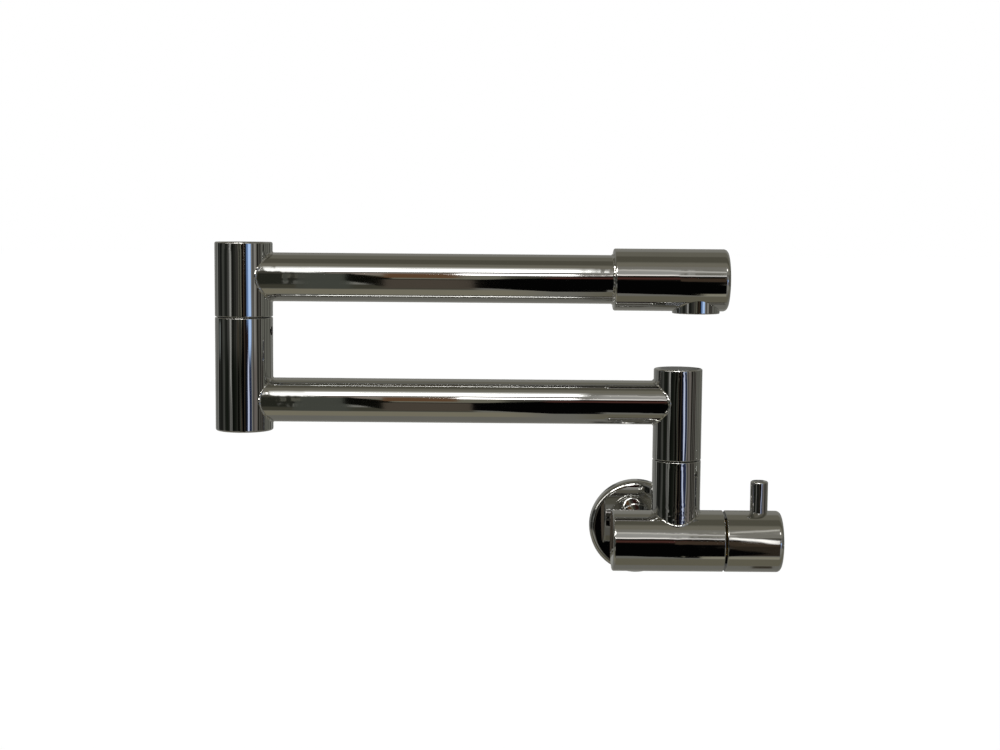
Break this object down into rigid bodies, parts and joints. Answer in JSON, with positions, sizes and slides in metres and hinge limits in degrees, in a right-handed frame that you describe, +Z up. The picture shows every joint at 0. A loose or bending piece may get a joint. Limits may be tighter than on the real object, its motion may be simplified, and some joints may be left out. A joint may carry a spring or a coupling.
{
  "type": "folding wall tap",
  "caption": "Wall-mounted folding tap: round valve barrel with a quarter-turn lever knob, upright pillar, swivelling arms joined at an elbow, and a spout head with an aerator.",
  "frame": {"origin": "on the inlet axis in the plane of the wall, where the flange's back lies", "axes": "+Y along the inlet thread into the wall, -Y towards the user, +Z up along the swivel axes, +X along the valve barrel towards the handle; the arms are folded along X"},
  "size_m": [0.258, 0.069, 0.1573],
  "materials": {
    "chrome": "mirror-polished chrome plate on brass",
    "brass": "turned brass, bare",
    "steel": "plain stainless steel",
    "rubber": "black moulded rubber",
    "foam": "closed-cell foam rubber",
    "ceramic": "lapped alumina ceramic",
    "plastic": "moulded acetal",
    "black_plastic": "moulded black acetal"
  },
  "bodies": {
    "wall_valve": {"wall_flange": "chrome", "wall_gasket": "foam", "inlet_neck": "chrome", "inlet_strainer": "plastic", "valve_barrel": "chrome", "barrel_end_plug": "chrome", "riser_pillar": "chrome", "pillar_bearing_ring": "black_plastic", "pillar_set_screw": "steel", "cartridge_housing": "brass", "cartridge_body_seal": "rubber", "cartridge_seat_seal": "rubber", "fixed_ceramic_disc": "ceramic"},
    "handle": {"handle_knob": "chrome", "lever_pin": "chrome", "handle_grub_screw": "steel", "cartridge_spindle": "brass", "spindle_seals": "rubber", "spindle_clip": "steel", "moving_ceramic_disc": "ceramic"},
    "lower_arm": {"lower_hub": "chrome", "lower_hub_plug": "chrome", "lower_spigot": "brass", "lower_spigot_seals": "rubber", "lower_arm_tube": "chrome", "elbow_lower_hub": "chrome", "elbow_bottom_plug": "chrome", "elbow_bearing_ring": "black_plastic", "elbow_set_screw": "steel"},
    "upper_arm": {"elbow_upper_hub": "chrome", "elbow_top_plug": "chrome", "elbow_spigot": "brass", "elbow_spigot_seals": "rubber", "upper_arm_tube": "chrome", "spout_head": "chrome", "aerator_collar": "chrome", "aerator_washer": "rubber", "aerator_screen": "steel", "aerator_insert": "plastic"}
  },
  "joints": [
    {"name": "lower_arm_swivel", "type": "hinge", "parent": "wall_valve", "child": "lower_arm", "pos_m": [0.015, -0.04, 0.0375], "axis": [0, 0, 1], "range_deg": [-7, 187]},
    {"name": "elbow_swivel", "type": "hinge", "parent": "lower_arm", "child": "upper_arm", "pos_m": [-0.182, -0.04, 0.101], "axis": [0, 0, 1], "continuous": true},
    {"name": "handle_turn", "type": "hinge", "parent": "wall_valve", "child": "handle", "pos_m": [0.0375, -0.04, 0], "axis": [1, 0, 0], "range_deg": [0, 90]}
  ]
}
